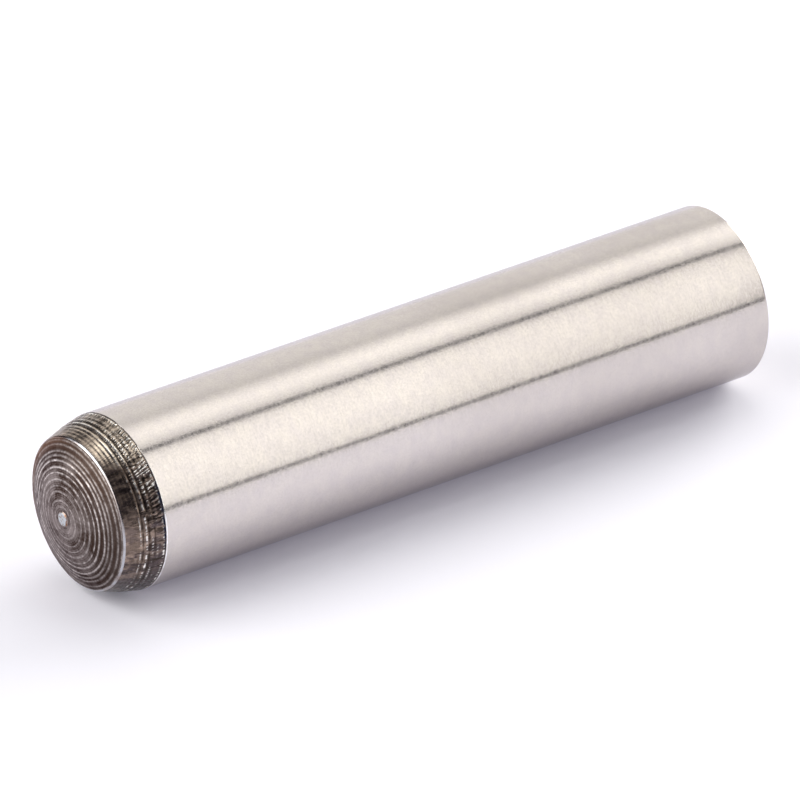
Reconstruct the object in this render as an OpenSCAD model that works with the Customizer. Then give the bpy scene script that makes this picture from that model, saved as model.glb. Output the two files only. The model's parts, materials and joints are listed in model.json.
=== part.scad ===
/* [Shank] */
// Nominal diameter of the ground shank
pin_dia = 8; // [6:0.5:12]
// How far the ground diameter stands over nominal, which makes the press fit
press_over = 0.01; // [0:0.005:0.03]
// Overall length, from the top of the pip to the dome of the plain end
pin_len = 36; // [20:1:80]

/* [Ends] */
// Radius of the dome on the nose
nose_crown = 8; // [6:0.5:20]
// Radius of the flatter dome on the plain end
plain_crown = 12; // [7:0.5:30]
// Radius that breaks the edge of the plain end
edge_rad = 0.12; // [0.04:0.02:0.4]

/* [Lead] */
// Length of the turned lead, from the ground shank to the rim of the nose
lead_len = 1.87; // [1.5:0.01:3]
// Length of the shallow taper, the part of the lead next to the shank
shoulder_len = 0.8; // [0.3:0.05:1]
// Slope of the shallow taper, in degrees
shoulder_angle = 12.4; // [5:0.1:20]
// Slope of the steep taper, the part of the lead next to the nose, in degrees
nose_angle = 17.7; // [10:0.1:25]
// Radius that breaks the rim of the nose
rim_rad = 0.1; // [0.05:0.01:0.2]

/* [Turning marks] */
// Number of tool grooves round the lead, the first where the two tapers meet
groove_count = 2; // [1:1:3]
// Distance from one groove to the next, along the pin
groove_pitch = 0.27; // [0.2:0.01:0.35]
// Width of a groove at its mouth
groove_w = 0.1; // [0.06:0.01:0.16]
// Depth of a groove
groove_depth = 0.03; // [0.01:0.01:0.05]
// Diameter of the pip that the parting tool left at the middle of the nose
pip_dia = 0.7; // [0.3:0.1:1.2]
// How far the pip stands out of the dome
pip_height = 0.05; // [0.02:0.01:0.1]

/* [Hidden] */
$fn = 180;
// Flat steps in the small rounds of the outline
round_steps = 6;
// How far the small rounds stand past the domes, so that the domes trim them cleanly
trim_lap = 0.001;

// The outline is drawn as [radius, height], with the nose at 0 and the plain end at pin_len
shank_rad = (pin_dia + press_over) / 2;
shoulder_rad = shank_rad - shoulder_len * tan(shoulder_angle);
nose_len = lead_len - shoulder_len;
nose_rad = shoulder_rad - nose_len * tan(nose_angle);
nose_y = pip_height + nose_crown - leg(nose_crown, nose_rad);
shoulder_y = nose_y + nose_len;
shank_y = nose_y + lead_len;

// Centres of the two domes
nose_dome = [0, pip_height + nose_crown];
plain_dome = [0, pin_len - plain_crown];

// Directions square to the steep taper and along it, and the centre of the round
// that touches both the steep taper and the dome of the nose
out_of_taper = [cos(nose_angle), -sin(nose_angle)];
along_taper = [sin(nose_angle), cos(nose_angle)];
rim_inset = ([nose_rad, nose_y] - nose_dome) * out_of_taper - rim_rad;
rim_centre = nose_dome + rim_inset * out_of_taper
    - (leg(nose_crown - rim_rad, rim_inset) + trim_lap) * along_taper;
rim_turn = angle_of(rim_centre - nose_dome);

// Centre of the round that touches both the side of the shank and the plain dome
edge_centre = plain_dome
    + [shank_rad - edge_rad, leg(plain_crown - edge_rad, shank_rad - edge_rad) + trim_lap];
edge_turn = angle_of(edge_centre - plain_dome);

// Radius of the cutter that makes a groove of the wanted width and depth
groove_rad = (groove_w * groove_w / 4 + groove_depth * groove_depth) / (2 * groove_depth);

// The other short side of a right triangle
function leg(slant, side) = sqrt(slant * slant - side * side);

function angle_of(v) = atan2(v.y, v.x);

// Points along a round, from one angle to another
function round_points(centre, rad, from, to) = [
    for (i = [0:round_steps])
        let (turn = from + (to - from) * i / round_steps)
        centre + rad * [cos(turn), sin(turn)]
];

// Radius of the steep taper at a distance from the shank
function taper_rad(from_shank) = shoulder_rad - (from_shank - shoulder_len) * tan(nose_angle);

// Half outline of the pin with both ends still flat
module flat_ended_outline() {
    rim = round_points(rim_centre, rim_rad, rim_turn, -nose_angle);
    edge = round_points(edge_centre, edge_rad, 0, edge_turn);
    polygon(concat(
        [[0, 0], [rim[0].x, 0]],
        rim,
        [[shoulder_rad, shoulder_y], [shank_rad, shank_y]],
        edge,
        [[edge[round_steps].x, pin_len], [0, pin_len]]
    ));
}

// What an end at height 0 loses when it is domed to the radius crown
module dome_waste(crown) {
    difference() {
        translate([-crown, -crown]) square(2 * crown);
        translate([0, crown]) circle(r = crown);
    }
}

module tool_grooves() {
    for (i = [0:groove_count - 1]) {
        from_shank = shoulder_len + i * groove_pitch;
        mouth = [taper_rad(from_shank), shank_y - from_shank];
        translate(mouth + (groove_rad - groove_depth) * out_of_taper) circle(r = groove_rad);
    }
}

// The pip's side slopes at 45 degrees and its foot is sunk in the dome
module pip_outline() {
    top_rad = pip_dia / 2 - pip_height;
    foot_y = 3 * pip_height;
    polygon([[0, 0], [top_rad, 0], [top_rad + foot_y, foot_y], [0, foot_y]]);
}

module pin_outline() {
    difference() {
        flat_ended_outline();
        translate([0, pip_height]) dome_waste(nose_crown);
        translate([0, pin_len]) mirror([0, 1]) dome_waste(plain_crown);
        tool_grooves();
    }
    pip_outline();
}

// The pin lies along X, nose to the left, with its middle at the origin
module dowel_pin() {
    color("silver")
    translate([-pin_len / 2, 0, 0])
    rotate([0, 90, 0])
    rotate_extrude()
    pin_outline();
}

dowel_pin();
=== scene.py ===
import json
import math

import bpy
import numpy as np
from mathutils import Matrix, Vector


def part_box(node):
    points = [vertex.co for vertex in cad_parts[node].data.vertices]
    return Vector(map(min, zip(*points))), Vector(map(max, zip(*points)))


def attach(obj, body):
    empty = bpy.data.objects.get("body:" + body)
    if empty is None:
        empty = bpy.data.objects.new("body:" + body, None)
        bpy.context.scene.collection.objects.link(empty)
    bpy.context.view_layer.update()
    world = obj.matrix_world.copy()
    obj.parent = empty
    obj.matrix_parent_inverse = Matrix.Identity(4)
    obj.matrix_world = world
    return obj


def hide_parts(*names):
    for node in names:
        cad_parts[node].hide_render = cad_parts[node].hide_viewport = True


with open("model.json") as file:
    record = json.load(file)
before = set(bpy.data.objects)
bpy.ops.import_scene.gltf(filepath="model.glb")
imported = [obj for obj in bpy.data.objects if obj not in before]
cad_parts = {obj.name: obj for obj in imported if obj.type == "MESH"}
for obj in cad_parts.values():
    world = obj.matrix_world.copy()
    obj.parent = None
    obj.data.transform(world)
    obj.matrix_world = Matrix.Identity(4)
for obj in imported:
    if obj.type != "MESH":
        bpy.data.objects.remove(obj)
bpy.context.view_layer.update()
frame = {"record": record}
mm = 0.001
pinLow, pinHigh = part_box("dowel_pin")
noseEnd = pinLow.x  # top of the pip
plainEnd = pinHigh.x  # top of the plain dome
shankRadius = frame["record"]["mounts"][0]["dims"]["r_mm"] * mm
print("frame loaded: a pin of", round((plainEnd - noseEnd) / mm, 2), "mm")

# The pin is turned from one outline. Angles are in degrees.
pinSizes = {
    "around": 360,  # points in a ring
    "noseCrown": 8 * mm,
    "plainCrown": 12 * mm,
    "pipRadius": 0.35 * mm,
    "pipHeight": 0.05 * mm,
    "pipDome": 0.01 * mm,
    "noseRowStep": 0.026 * mm,
    "rimRadius": 0.1 * mm,
    "rimSteps": 6,
    "leadLength": 1.87 * mm,
    "shoulderLength": 0.8 * mm,
    "shoulderAngle": 12.4,
    "noseAngle": 17.7,
    "leadRowStep": 0.034 * mm,
    "cornerRadius": 0.3 * mm,
    "cornerSteps": 4,
    "paintedGlintWidth": 0.03 * mm,  # the width of a painted highlight line where the shank starts
    "shankRows": 14,
    "edgeRadius": 0.12 * mm,
    "edgeSteps": 8,
    "plainRowStep": 0.09 * mm,
}
zoneNames = ["pip", "nose", "rim", "lead", "shank", "plain"]


def crownDrop(crown, radius):
    return crown - math.sqrt(crown * crown - radius * radius)


# Each station of the outline is where it lies along X, how far it is from the axis and its zone. On the
# nose and the lead, where marks stand, it also has the way it faces: 0 along -X and 90 outwards.
def pinOutline():
    s = pinSizes
    stations = []

    def put(x, radius, zone, facing=0):
        stations.append((x, radius, zoneNames.index(zone), facing))

    def putTaper(start, stop, angle):
        rows = round((stop - start[0]) / s["leadRowStep"])
        for i in range(1, rows + 1):
            along = (stop - start[0]) * i / rows
            put(start[0] + along, start[1] + along * math.tan(math.radians(angle)), "lead", 90 - angle)

    # The pip has a slightly domed top and a side at 45 degrees
    pipTop = s["pipRadius"] - s["pipHeight"]
    for share in (0, 0.3, 0.6, 0.85, 1):
        put(noseEnd + s["pipDome"] * share ** 4, pipTop * share, "pip")
    for share in (0.3, 0.55, 0.8, 1):
        down = s["pipHeight"] * share
        put(noseEnd + s["pipDome"] + down, pipTop + down, "pip")

    # Where the two tapers and the shank meet
    slopeIn = math.radians(s["noseAngle"])
    slopeOut = math.radians(s["shoulderAngle"])
    noseLength = s["leadLength"] - s["shoulderLength"]
    shoulderRadius = shankRadius - s["shoulderLength"] * math.tan(slopeOut)
    noseRadius = shoulderRadius - noseLength * math.tan(slopeIn)
    crown = s["noseCrown"]
    domeTop = noseEnd + s["pipHeight"]
    noseX = domeTop + crownDrop(crown, noseRadius)
    shoulderX = noseX + noseLength
    shankX = noseX + s["leadLength"]

    # The round of the rim touches both the dome and the steep taper
    rim = s["rimRadius"]
    outward = Vector((-math.sin(slopeIn), math.cos(slopeIn)))
    along = Vector((math.cos(slopeIn), math.sin(slopeIn)))
    domeCentre = Vector((domeTop + crown, 0))
    inset = (Vector((noseX, noseRadius)) - domeCentre).dot(outward) - rim
    rimCentre = domeCentre + inset * outward - math.sqrt((crown - rim) ** 2 - inset ** 2) * along
    rimStart = math.atan2(rimCentre.y, domeCentre.x - rimCentre.x)
    rimStop = math.pi / 2 - slopeIn

    domeRadius = crown * math.sin(rimStart)
    rows = round((domeRadius - s["pipRadius"]) / s["noseRowStep"])
    for i in range(1, rows):
        radius = s["pipRadius"] + (domeRadius - s["pipRadius"]) * i / rows
        put(domeTop + crownDrop(crown, radius), radius, "nose", math.degrees(math.asin(radius / crown)))
    for i in range(s["rimSteps"] + 1):
        turn = rimStart + (rimStop - rimStart) * i / s["rimSteps"]
        put(rimCentre.x - rim * math.cos(turn), rimCentre.y + rim * math.sin(turn), "rim")

    corner = s["cornerRadius"] * math.tan(slopeOut / 2)
    rimFoot = (stations[-1][0], stations[-1][1])
    putTaper(rimFoot, shoulderX, s["noseAngle"])
    putTaper((shoulderX, shoulderRadius), shankX - corner, s["shoulderAngle"])
    for i in range(1, s["cornerSteps"] + 1):
        turn = slopeOut * (1 - i / s["cornerSteps"])
        x = shankX + corner - s["cornerRadius"] * math.sin(turn)
        put(x, shankRadius - s["cornerRadius"] * (1 - math.cos(turn)), "shank")
    put(shankX + corner + s["leadRowStep"], shankRadius, "shank")

    crown = s["plainCrown"]
    edge = s["edgeRadius"]
    edgeReach = math.sqrt((crown - edge) ** 2 - (shankRadius - edge) ** 2)
    edgeX = plainEnd - crown + edgeReach
    shankRow = stations[-1][0]
    for i in range(1, s["shankRows"] + 1):
        put(shankRow + (edgeX - shankRow) * i / s["shankRows"], shankRadius, "shank")
    edgeStop = math.pi / 2 - math.acos(edgeReach / (crown - edge))
    for i in range(1, s["edgeSteps"] + 1):
        turn = edgeStop * i / s["edgeSteps"]
        put(edgeX + edge * math.sin(turn), shankRadius - edge + edge * math.cos(turn), "shank")
    domeRadius = crown * math.cos(edgeStop)
    rows = round(domeRadius / s["plainRowStep"])
    for i in range(1, rows + 1):
        radius = domeRadius * (1 - i / rows)
        put(plainEnd - crownDrop(crown, radius), radius, "plain")
    return np.array(stations), shankX


outline, shankStart = pinOutline()
print("outline drawn:", len(outline), "stations")


# A wavy line round the pin, from seeded sines, about -1 to 1
def wavyLine(random, angle, slowest, fastest, count):
    total = np.zeros_like(angle)
    for _ in range(count):
        turns = random.integers(slowest, fastest + 1)
        total += random.uniform(0.5, 1) * np.sin(turns * angle + random.uniform(0, 2 * math.pi))
    return total / math.sqrt(count)


# Raised rings left on the nose by the facing tool. Waves are written as the slowest, the fastest and
# how many.
ringMarks = {
    "seed": 11,
    "first": 0.60 * mm,
    "last": 3.50 * mm,
    "pitches": (0.34 * mm, 0.225 * mm),  # in the middle and past half way
    "jitter": 0.3,
    "width": 0.040 * mm,
    "widthRange": (0.6, 1.2),
    "height": 0.017 * mm,
    "weakest": 0.5,
    "middleStrength": 0.45,
    "patches": (0.75, 0.4),  # always there, and coming and going
    "patchWaves": (1, 40, 9),
    "drift": 0.012 * mm,
    "driftWaves": (1, 6, 4),
    "highest": 1.3,
    "sideTones": (0.46, 1.18),  # at the front and at the back
    "offCentre": (0.02 * mm, -0.05 * mm),
}


def turnedRings(y, z):
    m = ringMarks
    random = np.random.default_rng(m["seed"])
    distance = np.hypot(y - m["offCentre"][0], z - m["offCentre"][1])
    angle = np.arctan2(z, y)
    always, sometimes = m["patches"]
    tone = np.zeros_like(distance)
    radius = m["first"]
    while radius < m["last"]:
        outer = (radius - m["first"]) / (m["last"] - m["first"])
        strength = random.uniform(m["weakest"], 1) * min(1, m["middleStrength"] + outer)
        patchy = always + sometimes * wavyLine(random, angle, *m["patchWaves"])
        drift = m["drift"] * wavyLine(random, angle, *m["driftWaves"])
        width = m["width"] * random.uniform(*m["widthRange"])
        tone += strength * patchy * np.exp(-(((distance - radius - drift) / width) ** 2))
        pitch = np.interp(outer, (0, 0.5), m["pitches"])
        radius += pitch * (1 + m["jitter"] * random.uniform(-1, 1))
    return np.clip(tone, 0, m["highest"]) * np.interp(y, (-m["last"], m["last"]), m["sideTones"])


# Grooves that the turning tool cut round the lead, each with its distance from the shank and its share
# of the depth. The lip beside a groove is a share of it high, and lies so many groove widths away.
leadMarks = {
    "seed": 5,
    "grooves": [
        (0.80 * mm, 1.0),
        (1.07 * mm, 0.7),
        (0.54 * mm, 0.5),
        (0.03 * mm, 0.8),
        (1.45 * mm, 0.2),
        (1.26 * mm, 0.3),
        (0.32 * mm, 0.25),
        (1.62 * mm, 0.25),
    ],
    "width": 0.05 * mm,
    "depth": 0.028 * mm,
    "lipHeight": 0.5,
    "lipPlace": 2.2,
    "patches": (0.75, 0.35),
    "patchWaves": (1, 60, 12),
}


def leadGrooves(fromShank, angle):
    m = leadMarks
    random = np.random.default_rng(m["seed"])
    always, sometimes = m["patches"]
    tone = np.zeros_like(fromShank)
    for place, strength in m["grooves"]:
        patchy = always + sometimes * wavyLine(random, angle, *m["patchWaves"])
        step = (fromShank - place) / m["width"]
        groove = m["lipHeight"] * np.exp(-((step - m["lipPlace"]) ** 2)) - np.exp(-(step ** 2))
        tone += strength * patchy * groove
    return tone


def buildPin():
    around = pinSizes["around"]
    rings = outline[1:-1]  # the two poles are single points
    angle = np.broadcast_to(np.arange(around) * 2 * math.pi / around, (len(rings), around))
    x, radius, zone, facing = (np.broadcast_to(rings[:, [k]], angle.shape) for k in range(4))
    facing = np.radians(facing)
    onNose = (zone == zoneNames.index("nose")) & (radius < ringMarks["last"])
    onLead = zone == zoneNames.index("lead")
    paintedGlintRows = (zone == zoneNames.index("shank")) & (x < shankStart + pinSizes["paintedGlintWidth"])
    ringTone = np.where(onNose, turnedRings(radius * np.cos(angle), radius * np.sin(angle)), 0)
    leadTone = np.where(onLead, leadGrooves(shankStart - x, angle), 0)
    height = ringTone * ringMarks["height"] + leadTone * leadMarks["depth"]
    x = x - height * np.cos(facing)
    radius = radius + height * np.sin(facing)
    points = np.stack([x, radius * np.cos(angle), radius * np.sin(angle)], -1).reshape(-1, 3)
    poles = [(outline[0, 0], 0, 0), (outline[-1, 0], 0, 0)]

    here = np.arange(around)
    after = (here + 1) % around
    starts = np.arange(len(rings) - 1)[:, None] * around
    quads = np.stack([starts + here, starts + after, starts + around + after, starts + around + here], -1)
    lastRing = (len(rings) - 1) * around
    noseFan = [(len(points), j, i) for i, j in zip(here, after)]
    plainFan = [(len(points) + 1, lastRing + i, lastRing + j) for i, j in zip(here, after)]
    faces = quads.reshape(-1, 4).tolist() + noseFan + plainFan

    mesh = bpy.data.meshes.new("dowelPin")
    mesh.from_pydata(points.tolist() + poles, [], faces)
    zones = np.repeat(rings[1:, 2], around).tolist()
    zones += [zoneNames.index("pip")] * around + [zoneNames.index("plain")] * around
    mesh.polygons.foreach_set("material_index", np.array(zones, np.int32))
    mesh.polygons.foreach_set("use_smooth", np.ones(len(faces), bool))
    tone = mesh.attributes.new("ringTone", "FLOAT", "POINT")
    # The tone also holds the lead's grooves and, at 1, the shank's first rows, where a highlight is painted
    values = np.concatenate([(ringTone + leadTone + paintedGlintRows).ravel(), [0, 0]])
    tone.data.foreach_set("value", values.astype(np.float32))
    mesh.update()
    piece = bpy.data.objects.new("dowelPin", mesh)
    bpy.context.scene.collection.objects.link(piece)
    return piece


dowelPin = buildPin()
print("pin turned:", len(dowelPin.data.polygons), "faces")


# Adds a node, with its inputs given as values or as other nodes' outputs
def addNode(tree, kind, inputs=(), **settings):
    made = tree.nodes.new(kind)
    for name, value in settings.items():
        setattr(made, name, value)
    for name, value in dict(inputs).items():
        if isinstance(value, bpy.types.NodeSocket):
            tree.links.new(value, made.inputs[name])
        else:
            made.inputs[name].default_value = value
    return made


def newMaterial(name):
    material = bpy.data.materials.new(name)
    material.use_nodes = True
    tree = material.node_tree
    tree.nodes.clear()
    return material, tree


def calculate(tree, operation, first, second=0.0):
    return addNode(tree, "ShaderNodeMath", {0: first, 1: second}, operation=operation).outputs[0]


def plus(tree, total, *others):
    for other in others:
        total = calculate(tree, "ADD", total, other)
    return total


def times(tree, total, *others):
    for other in others:
        total = calculate(tree, "MULTIPLY", total, other)
    return total


# Turns low to high into toLow to toHigh, and stays level past both. The ranges kept with each finish
# are written in this order.
def spread(tree, value, low, high, toLow=0.0, toHigh=1.0):
    inputs = {"Value": value, "From Min": low, "From Max": high, "To Min": toLow, "To Max": toHigh}
    return addNode(tree, "ShaderNodeMapRange", inputs).outputs["Result"]


# Turns a share of 0 to 1 into atNone to atFull
def byShare(tree, share, atNone, atFull):
    return spread(tree, share, 0, 1, atNone, atFull)


def mixColours(tree, share, first, second):
    mixer = addNode(tree, "ShaderNodeMix", data_type="RGBA")
    for socket, value in ((0, share), (6, first), (7, second)):  # the factor and the colours
        if isinstance(value, bpy.types.NodeSocket):
            tree.links.new(value, mixer.inputs[socket])
        else:
            mixer.inputs[socket].default_value = value
    return mixer.outputs[2]


def onSurface(tree):
    return addNode(tree, "ShaderNodeTexCoord").outputs["Object"]


def splitAxes(tree, place):
    return addNode(tree, "ShaderNodeSeparateXYZ", {0: place}).outputs


def vectorMath(tree, operation, first, second=(0, 0, 0)):
    return addNode(tree, "ShaderNodeVectorMath", {0: first, 1: second}, operation=operation).outputs


def markTone(tree):
    return addNode(tree, "ShaderNodeAttribute", attribute_name="ringTone").outputs["Fac"]


# Noise with so many cells in a mm along the pin and across it. Many along and few across make lines
# that run round the pin. The grains kept with each finish are written in this order.
def grain(tree, alongPin, acrossPin, detail=2.0, roughness=0.5):
    scale = (alongPin / mm, acrossPin / mm, acrossPin / mm)
    stretched = vectorMath(tree, "MULTIPLY", onSurface(tree), scale)[0]
    inputs = {"Vector": stretched, "Scale": 1.0, "Detail": detail, "Roughness": roughness}
    return addNode(tree, "ShaderNodeTexNoise", inputs).outputs["Fac"]


def fromAxis(tree, place, centre):
    moved = vectorMath(tree, "ADD", place, (0, -centre[0], -centre[1]))[0]
    flat = vectorMath(tree, "MULTIPLY", moved, (0, 1, 1))[0]
    return vectorMath(tree, "LENGTH", flat)["Value"]


# How far a point lies towards one side of the pin, 1 at the shank; 0 is the front and 90 the top
def sideways(tree, place, side):
    turn = math.radians(side)
    toSide = (0, -math.cos(turn) / shankRadius, math.sin(turn) / shankRadius)
    return vectorMath(tree, "DOT_PRODUCT", place, toSide)["Value"]


ringWander = 6
ringWanderGrain = (0.6, 0.6, 2)


# Fine turned rings that wander a little, between -height and height
def fineRings(tree, reach, pitch, height):
    turns = times(tree, reach, 2 * math.pi / pitch)
    wander = times(tree, grain(tree, *ringWanderGrain), ringWander)
    return times(tree, calculate(tree, "SINE", plus(tree, turns, wander)), height)


def addBump(tree, height, depth):
    inputs = {"Height": height, "Strength": 1.0, "Distance": depth}
    return addNode(tree, "ShaderNodeBump", inputs).outputs[0]


def finishMetal(tree, colour, roughness, bump=None, settings=()):
    inputs = {"Base Color": colour, "Roughness": roughness, "Metallic": 1.0}
    if bump:
        inputs["Normal"] = bump
    inputs.update(settings)
    shader = addNode(tree, "ShaderNodeBsdfPrincipled", inputs)
    addNode(tree, "ShaderNodeOutputMaterial", {"Surface": shader.outputs[0]})


groundFinish = {
    "warm": (0.685, 0.638, 0.608, 1),
    "cool": (0.64, 0.594, 0.585, 1),
    # the colour of the random specks, and of the painted shade towards the plain end
    "speckAndShade": (0.45, 0.41, 0.39, 1),
    # the colour of the painted highlight line where the shank starts
    "edge": (0.96, 0.96, 0.98, 1),
    "grazing": (0.74, 0.73, 0.75, 1),
    "lineGrain": (16, 2.2, 2),
    "gritGrain": (8, 8, 2, 0.6),
    "speckGrain": (11, 11, 1),
    "mottleGrain": (1.6, 1.3, 3, 0.6),
    "cloudGrain": (0.15, 0.3, 1),
    "glintBreakGrain": (1, 3.5),
    "mottle": (0.35, 0.65),
    "specks": (0.35, 0.70, 0, 0.2),
    "clouds": (0.35, 0.65, 0.4, 1.6),
    "glintBreaks": (0.35, 0.5, 0.3, 1),
    "plainEndShade": (-3 * mm, 2 * mm, 0.05, 0.2),  # painted shade, darker towards the plain end
    "glintFade": (3.3 * mm, 2.3 * mm),  # the painted highlight fades out towards the top
    "roughness": (0.8, 1.2, 0.15, 0.23),
    "lineShare": 0.35,
    "gritDepth": 0.0022 * mm,
    "brushed": 0.6,
    "brushedTurn": 0.25,
}


def groundSteel():
    f = groundFinish
    material, tree = newMaterial("groundSteel")
    axes = splitAxes(tree, onSurface(tree))
    lines = grain(tree, *f["lineGrain"])
    grit = grain(tree, *f["gritGrain"])
    mottle = spread(tree, grain(tree, *f["mottleGrain"]), *f["mottle"])
    specks = spread(tree, grain(tree, *f["speckGrain"]), *f["specks"])
    clouds = spread(tree, grain(tree, *f["cloudGrain"]), *f["clouds"])
    glintBreaks = spread(tree, grain(tree, *f["glintBreakGrain"]), *f["glintBreaks"])
    colour = mixColours(tree, mottle, f["warm"], f["cool"])
    colour = mixColours(tree, specks, colour, f["speckAndShade"])
    # Painted shade: darker towards the plain end, in clouds
    plainEndShade = times(tree, spread(tree, axes["X"], *f["plainEndShade"]), clouds)
    colour = mixColours(tree, plainEndShade, colour, f["speckAndShade"])
    # Painted highlight: a bright line on the first rows of the shank, broken up and fading out towards the
    # top
    edge = times(tree, markTone(tree), glintBreaks, spread(tree, axes["Z"], *f["glintFade"]))
    colour = mixColours(tree, edge, colour, f["edge"])
    roughness = spread(tree, plus(tree, lines, grit), *f["roughness"])
    bump = addBump(tree, plus(tree, grit, times(tree, lines, f["lineShare"])), f["gritDepth"])
    tangent = addNode(tree, "ShaderNodeTangent", direction_type="RADIAL", axis="X")
    settings = {"Anisotropic": f["brushed"], "Anisotropic Rotation": f["brushedTurn"]}
    settings.update({"Tangent": tangent.outputs[0], "Specular Tint": f["grazing"]})
    finishMetal(tree, colour, roughness, bump, settings)
    return material


# The plain end, turned clean
plainFinish = {
    "light": (0.52, 0.48, 0.46, 1),
    "dark": (0.46, 0.42, 0.40, 1),
    "ringPitch": 0.16 * mm,
    "ringDepth": 0.0015 * mm,
    "blotchGrain": (2, 2, 3, 0.6),
    "gritGrain": (9, 9, 2),
    "blotches": (0.35, 0.65),
    "roughness": (0.3, 0.7, 0.24, 0.34),
}


def plainSteel():
    f = plainFinish
    material, tree = newMaterial("plainSteel")
    rings = fineRings(tree, fromAxis(tree, onSurface(tree), (0, 0)), f["ringPitch"], 1)
    blotches = grain(tree, *f["blotchGrain"])
    colour = mixColours(tree, spread(tree, blotches, *f["blotches"]), f["light"], f["dark"])
    bump = addBump(tree, plus(tree, rings, grain(tree, *f["gritGrain"])), f["ringDepth"])
    finishMetal(tree, colour, spread(tree, blotches, *f["roughness"]), bump)
    return material


# Chatter marks stand side by side round the lead and slant a little. The lead is a steep taper and then
# a shoulder. Its colours and marks change at the shoulder, and a painted highlight lies on the upper side.
leadFinish = {
    "dull": (0.33, 0.25, 0.205, 1),
    # the colour of the painted shade underneath, and of soot in places and on the shoulder
    "under": (0.100, 0.077, 0.079, 1),
    # the colour of the warm painted highlight on the upper side
    "paintedHighlight": (0.98, 0.85, 0.70, 1),
    "pit": (0.035, 0.025, 0.02, 1),
    # the colour of the painted glints on the crests and on the lips of the grooves
    "paintedGlint": (0.97, 0.94, 0.90, 1),
    # the colour of the painted shade line beside the shank
    "edgeShade": (0.014, 0.017, 0.034, 1),
    "streakGrain": (0.5, 4.5, 2, 0.6),
    "speckGrain": (2, 4, 2, 0.6),
    "patchGrain": (0.9, 0.9, 2),
    "wanderGrain": (0.5, 2.6, 3, 0.6),
    "breakGrain": (1.5, 3.2, 3, 0.6),
    "mottleGrain": (1.1, 3.2, 3, 0.65),
    "chatterCount": 150,
    "chatterWander": 14,
    "chatterLean": 12 / mm,
    "chatterDepth": 0.034 * mm,
    "broken": (0.42, 0.60),
    "shoulderBlend": (-0.2 * mm, 0.1 * mm),
    "highlightSide": 84,
    "litSide": 58,
    "edgeShadeSide": 14,
    "highlightRange": (0.79, 0.90),
    "highlightPatches": (0.3, 0.5, 0.7, 1),
    "highlightLit": (0.78, 0.9, 0.4, 1),
    "marksLit": (0.82, 0.94, 0.22, 1),
    # on the steep taper, and on the shoulder
    "marksOn": (0.07, 1),
    "highlightOn": (1, 0.5),
    "streaksOn": (0.45, 1.1),
    "sootOn": (0, 0.5),
    "darkOn": (0.5, 0.85),
    # outside the painted highlight, and inside it
    "streaksHighlight": (1, 0.5),
    "darkHighlight": (1, 0.3),
    "roughnessHighlight": (1, 0.6),
    "shadeBelow": (0.5 * mm, -2.5 * mm),
    "sootMottle": (0.55, 0.40, -0.3, 0.6),
    "dark": (0.54, 0.42),
    "beadChatter": 0.4,
    "beadSpecks": 6,
    "beads": (2.4, 3.6, 0.3, 1.5),
    "beadPatches": (0.52, 0.66, 0, 1.2),
    "crestMarks": 0.85,
    "crests": (0.15, 0.6),
    "grooves": (-0.1, -0.5, 0, 0.8),
    "edgeShadeLine": (-0.18 * mm, -0.11 * mm),
    "edgeShadeRange": (0.90, 0.955),
    "edgeShadeSpecks": (0.35, 0.5, 0.5, 1),
    "roughness": (0.3, 0.7, 0.2, 0.4),
}


# Each mark wanders a little. The angle's seam lies underneath.
def chatterWave(tree, axes):
    f = leadFinish
    angle = calculate(tree, "ARCTAN2", axes["Y"], axes["Z"])
    wander = times(tree, grain(tree, *f["wanderGrain"]), f["chatterWander"])
    turns = plus(tree, times(tree, angle, f["chatterCount"]), wander)
    lean = times(tree, axes["X"], f["chatterLean"])
    return calculate(tree, "SINE", calculate(tree, "SUBTRACT", turns, lean))


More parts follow.
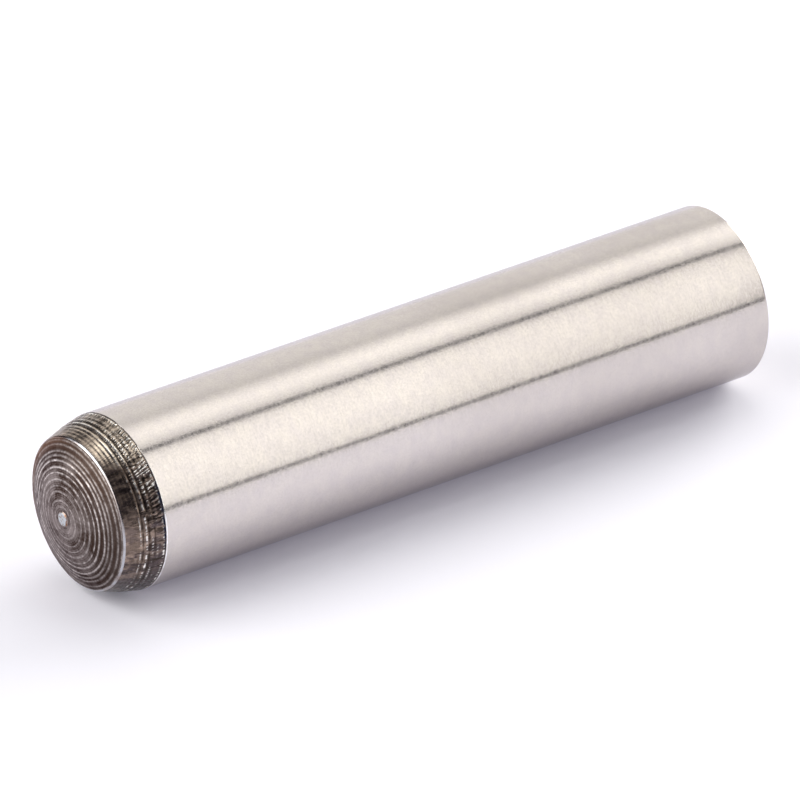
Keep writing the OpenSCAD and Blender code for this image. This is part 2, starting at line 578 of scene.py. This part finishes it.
def turnedLead():
    f = leadFinish
    material, tree = newMaterial("turnedLead")
    place = onSurface(tree)
    axes = splitAxes(tree, place)
    streaks = grain(tree, *f["streakGrain"])
    specks = grain(tree, *f["speckGrain"])
    patches = grain(tree, *f["patchGrain"])
    tone = markTone(tree)
    shoulderX = shankStart - pinSizes["shoulderLength"]
    shoulder = spread(tree, axes["X"], *(shoulderX + reach for reach in f["shoulderBlend"]))
    litSide = sideways(tree, place, f["litSide"])

    chatter = chatterWave(tree, axes)
    broken = spread(tree, grain(tree, *f["breakGrain"]), *f["broken"])
    litShare = spread(tree, litSide, *f["marksLit"])
    strength = times(tree, byShare(tree, shoulder, *f["marksOn"]), litShare)
    marks = times(tree, chatter, broken, strength)

    # A warm painted highlight on the upper side, in patches, less on the shoulder
    paintedHighlight = spread(tree, sideways(tree, place, f["highlightSide"]), *f["highlightRange"])
    paintedHighlight = times(tree, paintedHighlight, spread(tree, patches, *f["highlightPatches"]))
    paintedHighlight = times(tree, paintedHighlight, byShare(tree, shoulder, *f["highlightOn"]))
    paintedHighlight = times(tree, paintedHighlight, spread(tree, litSide, *f["highlightLit"]))

    # Painted shade underneath, soot in places and on the shoulder, and dark along the streaks
    sootAndShade = spread(tree, axes["Z"], *f["shadeBelow"])
    sootAndShade = plus(tree, sootAndShade, spread(tree, grain(tree, *f["mottleGrain"]), *f["sootMottle"]))
    sootAndShade = plus(tree, sootAndShade, byShare(tree, shoulder, *f["sootOn"]))
    dark = times(tree, byShare(tree, shoulder, *f["darkOn"]), byShare(tree, paintedHighlight, *f["darkHighlight"]))
    dark = times(tree, spread(tree, streaks, *f["dark"]), dark)
    colour = mixColours(tree, sootAndShade, f["dull"], f["under"])
    colour = mixColours(tree, paintedHighlight, colour, f["paintedHighlight"])
    colour = mixColours(tree, dark, colour, f["pit"])

    # Painted glints on the crests of the marks, strongest on the lit side, and in beads on the lips of the
    # grooves; the grooves are dark
    uneven = plus(tree, times(tree, chatter, f["beadChatter"]), times(tree, specks, f["beadSpecks"]))
    beadShare = plus(tree, spread(tree, uneven, *f["beads"]), paintedHighlight)
    beadShare = plus(tree, beadShare, spread(tree, patches, *f["beadPatches"]))
    crests = plus(tree, times(tree, marks, f["crestMarks"]), times(tree, tone, beadShare))
    colour = mixColours(tree, spread(tree, crests, *f["crests"]), colour, f["paintedGlint"])
    colour = mixColours(tree, spread(tree, tone, *f["grooves"]), colour, f["pit"])

    # Painted shade: a thin dark navy line beside the shank, towards the front
    edgeShade = spread(tree, axes["X"], *(shankStart + reach for reach in f["edgeShadeLine"]))
    edgeShade = times(tree, edgeShade, spread(tree, sideways(tree, place, f["edgeShadeSide"]), *f["edgeShadeRange"]))
    edgeShade = times(tree, edgeShade, spread(tree, specks, *f["edgeShadeSpecks"]))
    colour = mixColours(tree, edgeShade, colour, f["edgeShade"])

    roughness = spread(tree, specks, *f["roughness"])
    roughness = times(tree, roughness, byShare(tree, paintedHighlight, *f["roughnessHighlight"]))
    streakShare = byShare(tree, shoulder, *f["streaksOn"])
    streakShare = times(tree, streakShare, byShare(tree, paintedHighlight, *f["streaksHighlight"]))
    height = plus(tree, marks, times(tree, streaks, streakShare))
    finishMetal(tree, colour, roughness, addBump(tree, height, f["chatterDepth"]))
    return material


# The nose is clean in the middle, has painted shade towards the front, the top and the back, and is stained
# brown at the back
noseFinish = {
    "valley": (0.046, 0.029, 0.023, 1),
    "flat": (0.262, 0.224, 0.216, 1),
    "crest": (0.98, 0.90, 0.88, 1),
    "stain": (0.24, 0.125, 0.075, 1),
    "grazing": (0.45, 0.43, 0.45, 1),
    "finePitch": 0.095 * mm,
    "fineHeight": 0.2,
    "blotchGrain": (0.7, 0.7, 3, 0.6),
    "speckGrain": (9, 9, 2),
    "blotches": (0.4, 0.62),
    "specks": (0.3, 0.7, -0.3, 0.3),
    "cleanMiddle": (1.1 * mm, 0.7 * mm, 0, 0.5),
    "shadeFront": (-2.8 * mm, 0.5 * mm, 0.12, 1.1),
    "shadeTop": (3.2 * mm, 1.2 * mm, 0.05, 1),
    "shadeBack": (1.0 * mm, 2.5 * mm, 1, 0.75),
    "crestSpecks": (0.35, 0.65, 0.6, 1.4),
    "crestShadeTop": (3.3 * mm, 1.5 * mm, 0.5, 1),
    "stainBack": (0, 2.5 * mm),
    "stainOutside": (2.9 * mm, 3.45 * mm, 0, 0.7),
    "gritDepth": 0.006 * mm,
    "roughness": (0.3, 0.7, 0.28, 0.42),
}


def turnedNose():
    f = noseFinish
    material, tree = newMaterial("turnedNose")
    place = onSurface(tree)
    axes = splitAxes(tree, place)
    reach = fromAxis(tree, place, ringMarks["offCentre"])
    blotches = grain(tree, *f["blotchGrain"])
    specks = grain(tree, *f["speckGrain"])
    toneAndShade = plus(tree, spread(tree, blotches, *f["blotches"]), spread(tree, specks, *f["specks"]))
    toneAndShade = plus(tree, toneAndShade, spread(tree, reach, *f["cleanMiddle"]))
    toneAndShade = plus(tree, toneAndShade, fineRings(tree, reach, f["finePitch"], f["fineHeight"]))
    # Painted shade: darker towards the front, the top and the back
    toneAndShade = times(tree, toneAndShade, spread(tree, axes["Y"], *f["shadeFront"]))
    toneAndShade = times(tree, toneAndShade, spread(tree, axes["Z"], *f["shadeTop"]))
    toneAndShade = times(tree, toneAndShade, spread(tree, axes["Y"], *f["shadeBack"]))
    colour = mixColours(tree, toneAndShade, f["valley"], f["flat"])
    crests = times(tree, markTone(tree), spread(tree, specks, *f["crestSpecks"]))
    # Painted shade: the crests dimmer towards the top
    crests = times(tree, crests, spread(tree, axes["Z"], *f["crestShadeTop"]))
    colour = mixColours(tree, crests, colour, f["crest"])
    stain = times(tree, spread(tree, reach, *f["stainOutside"]), spread(tree, axes["Y"], *f["stainBack"]))
    colour = mixColours(tree, stain, colour, f["stain"])
    roughness = spread(tree, blotches, *f["roughness"])
    bump = addBump(tree, specks, f["gritDepth"])
    finishMetal(tree, colour, roughness, bump, {"Specular Tint": f["grazing"]})
    return material


# The rim has a painted highlight on top and a little underneath at the front, is plain between, and is
# stained at the back
rimFinish = {
    "paintedHighlight": (0.66, 0.69, 0.76, 1),
    "speckGrain": (2, 1.2, 2),
    "specks": (0.35, 0.55, 0.35, 1),
    "highlightFront": (2.2 * mm, 0, -0.2, 1),
    "plainBelow": (3.2 * mm, 2.75 * mm, 0, 0.8),
    "plainAbove": (0.9 * mm, 0.1 * mm, 0, 0.4),
    "roughness": (0.3, 0.7, 0.18, 0.3),
}


def highlightRim():
    f = rimFinish
    material, tree = newMaterial("highlightRim")
    axes = splitAxes(tree, onSurface(tree))
    specks = grain(tree, *f["speckGrain"])
    # Painted highlight towards the front, stain at the back
    paintedHighlight = times(tree, spread(tree, axes["Y"], *f["highlightFront"]), spread(tree, specks, *f["specks"]))
    colour = mixColours(tree, paintedHighlight, noseFinish["stain"], f["paintedHighlight"])
    below = spread(tree, axes["Z"], *f["plainBelow"])
    plain = calculate(tree, "SUBTRACT", below, spread(tree, axes["Z"], *f["plainAbove"]))
    colour = mixColours(tree, plain, colour, noseFinish["flat"])
    finishMetal(tree, colour, spread(tree, specks, *f["roughness"]))
    return material


# The pip is bright, with a brown foot and a few brown specks
pipFinish = {
    "bright": (0.46, 0.49, 0.52, 1),
    "speckGrain": (9, 9, 2),
    "specks": (0.5, 0.75),
    "foot": (0.006 * mm, 0.02 * mm),
    "footShare": 0.65,
    "gritDepth": 0.004 * mm,
    "roughness": (0.3, 0.7, 0.25, 0.4),
}


def pipMetal():
    f = pipFinish
    material, tree = newMaterial("pipMetal")
    specks = grain(tree, *f["speckGrain"])
    footTop, footEnd = (noseEnd + reach for reach in f["foot"])
    foot = spread(tree, splitAxes(tree, onSurface(tree))["X"], footTop, footEnd, 0, f["footShare"])
    brown = plus(tree, foot, spread(tree, specks, *f["specks"]))
    colour = mixColours(tree, brown, f["bright"], noseFinish["stain"])
    bump = addBump(tree, specks, f["gritDepth"])
    finishMetal(tree, colour, spread(tree, specks, *f["roughness"]), bump)
    return material


for material in (pipMetal(), turnedNose(), highlightRim(), turnedLead(), groundSteel(), plainSteel()):
    dowelPin.data.materials.append(material)
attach(dowelPin, "root")
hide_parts("dowel_pin")
print("finishes on")


# The pin lies on a pale table lit a little from beneath
floorFinish = {
    "reach": 1.2,
    "colour": (0.88, 0.88, 0.96, 1),
    "roughness": 0.7,
    "glow": (0.84, 0.83, 1.0, 1),
    "glowStrength": 0.09,
}


def buildFloor():
    f = floorFinish
    reach = f["reach"]
    mesh = bpy.data.meshes.new("floor")
    corners = [(-reach, -reach, 0), (reach, -reach, 0), (reach, reach, 0), (-reach, reach, 0)]
    mesh.from_pydata(corners, [], [(0, 1, 2, 3)])
    floor = bpy.data.objects.new("floor", mesh)
    floor.location.z = -shankRadius
    bpy.context.scene.collection.objects.link(floor)
    material, tree = newMaterial("paleFloor")
    inputs = {"Base Color": f["colour"], "Roughness": f["roughness"]}
    inputs.update({"Emission Color": f["glow"], "Emission Strength": f["glowStrength"]})
    shader = addNode(tree, "ShaderNodeBsdfPrincipled", inputs)
    addNode(tree, "ShaderNodeOutputMaterial", {"Surface": shader.outputs[0]})
    mesh.materials.append(material)


# Long soft panels beside the pin, running along it "from" one place "to" another. Each stop is an angle,
# level at the front at 0 and overhead at 90, with the glow there, and "fade" is how one turns into the next.
panelDistance = 0.35
panels = {
    "front": {
        "from": 0.09,
        "to": 0.36,
        "fade": "B_SPLINE",
        "stops": [(6, 1.12), (18, 1.26), (42, 1.44), (60, 1.36), (73, 1.26), (79, 0.78)],
    },
    "top": {
        "from": -0.02,
        "to": 0.44,
        "fade": "B_SPLINE",
        "stops": [(84, 0.75), (97, 1.25), (106, 1.36), (116, 1.20), (128, 0.66)],
    },
    "back": {
        "from": 0.07,
        "to": 0.50,
        "fade": "LINEAR",
        "stops": [(128, 0.70), (146, 0.92), (184, 1.10)],
    },
    "ledge": {
        "from": 0.09,
        "to": 0.36,
        "fade": "LINEAR",
        "stops": [(-1.5, 1.0), (1.5, 1.0)],
    },
}
fillDistance = 0.5
fills = {
    "noseFill": {"from": (-0.80, 0.25, 0.45), "size": 0.60, "glow": 3.1},
    "plainFill": {"from": (0.95, 0.15, 0.28), "size": 0.36, "glow": 5.5},
}
studio = {
    "lampTint": (1, 0.985, 0.93),
    "colour": (0.80, 0.78, 1.0, 1),
    "strength": 0.06,
    "exposure": 0.14,
}


def placeLamp(name, spot, away, lengthwise, length, width, glow):
    light = bpy.data.lights.new(name, "AREA")
    light.shape = "RECTANGLE"
    light.size = length
    light.size_y = width
    light.energy = glow * math.pi * length * width
    light.color = studio["lampTint"]
    lamp = bpy.data.objects.new(name, light)
    turn = Matrix((lengthwise, away.cross(lengthwise), away)).transposed()
    lamp.matrix_world = Matrix.Translation(spot) @ turn.to_4x4()
    lamp.visible_camera = False
    bpy.context.scene.collection.objects.link(lamp)
    return light


# The glow changes across the panel, from its lowest angle to its highest
def shadePanel(light, shares, glows, fade):
    light.use_nodes = True
    tree = light.node_tree
    place = addNode(tree, "ShaderNodeNewGeometry").outputs["Parametric"]
    ramp = addNode(tree, "ShaderNodeValToRGB", {0: splitAxes(tree, place)["Y"]})
    ramp.color_ramp.interpolation = fade
    stops = ramp.color_ramp.elements  # a new ramp has two
    for i, (share, glow) in enumerate(zip(shares, glows)):
        stop = stops[i] if i < 2 else stops.new(share)
        stop.position = share
        stop.color = (glow, glow, glow, 1)
    tree.links.new(ramp.outputs["Color"], tree.nodes["Emission"].inputs["Strength"])


def buildPanel(name, panel):
    angles = [math.radians(angle) for angle, _ in panel["stops"]]
    glows = [glow for _, glow in panel["stops"]]
    brightest = max(glows)
    middle = (angles[0] + angles[-1]) / 2
    half = math.tan((angles[-1] - angles[0]) / 2)
    away = Vector((0, -math.cos(middle), math.sin(middle)))
    alongPin = Vector((1, 0, 0))
    spot = away * panelDistance + alongPin * (panel["from"] + panel["to"]) / 2
    length = panel["to"] - panel["from"]
    light = placeLamp(name, spot, away, alongPin, length, 2 * panelDistance * half, brightest)
    shares = [0.5 + math.tan(angle - middle) / (2 * half) for angle in angles]
    shadePanel(light, shares, [glow / brightest for glow in glows], panel["fade"])


def buildLights():
    for name, panel in panels.items():
        buildPanel(name, panel)
    for name, fill in fills.items():
        away = Vector(fill["from"]).normalized()
        level = Vector((0, 0, 1)).cross(away).normalized()
        placeLamp(name, away * fillDistance, away, level, fill["size"], fill["size"], fill["glow"])
    world = bpy.data.worlds.new("studio")
    world.use_nodes = True
    backdrop = world.node_tree.nodes["Background"]
    backdrop.inputs["Color"].default_value = studio["colour"]
    backdrop.inputs["Strength"].default_value = studio["strength"]
    bpy.context.scene.world = world


cameraPlace = {
    "azimuth": -36.2,
    "elevation": 28.5,
    "distance": 0.529,
    "frameWidth": 0.0350,
    "lift": 0.00006,
    "sensorWidth": 36,
    "nearest": 0.01,
    "farthest": 10,
}


def buildCamera():
    c = cameraPlace
    azimuth, elevation = math.radians(c["azimuth"]), math.radians(c["elevation"])
    level = math.cos(elevation)
    back = Vector((math.sin(azimuth) * level, -math.cos(azimuth) * level, math.sin(elevation)))
    data = bpy.data.cameras.new("camera")
    data.sensor_width = c["sensorWidth"]
    data.lens = c["sensorWidth"] * c["distance"] / c["frameWidth"]
    data.clip_start = c["nearest"]
    data.clip_end = c["farthest"]
    camera = bpy.data.objects.new("camera", data)
    turn = back.to_track_quat("Z", "Y")
    camera.location = back * c["distance"] + turn @ Vector((0, c["lift"], 0))
    camera.rotation_mode = "QUATERNION"
    camera.rotation_quaternion = turn
    bpy.context.scene.collection.objects.link(camera)
    bpy.context.scene.camera = camera


buildFloor()
buildLights()
buildCamera()
bpy.context.scene.view_settings.view_transform = "Standard"
bpy.context.scene.view_settings.exposure = studio["exposure"]
print("floor, lights and camera set")
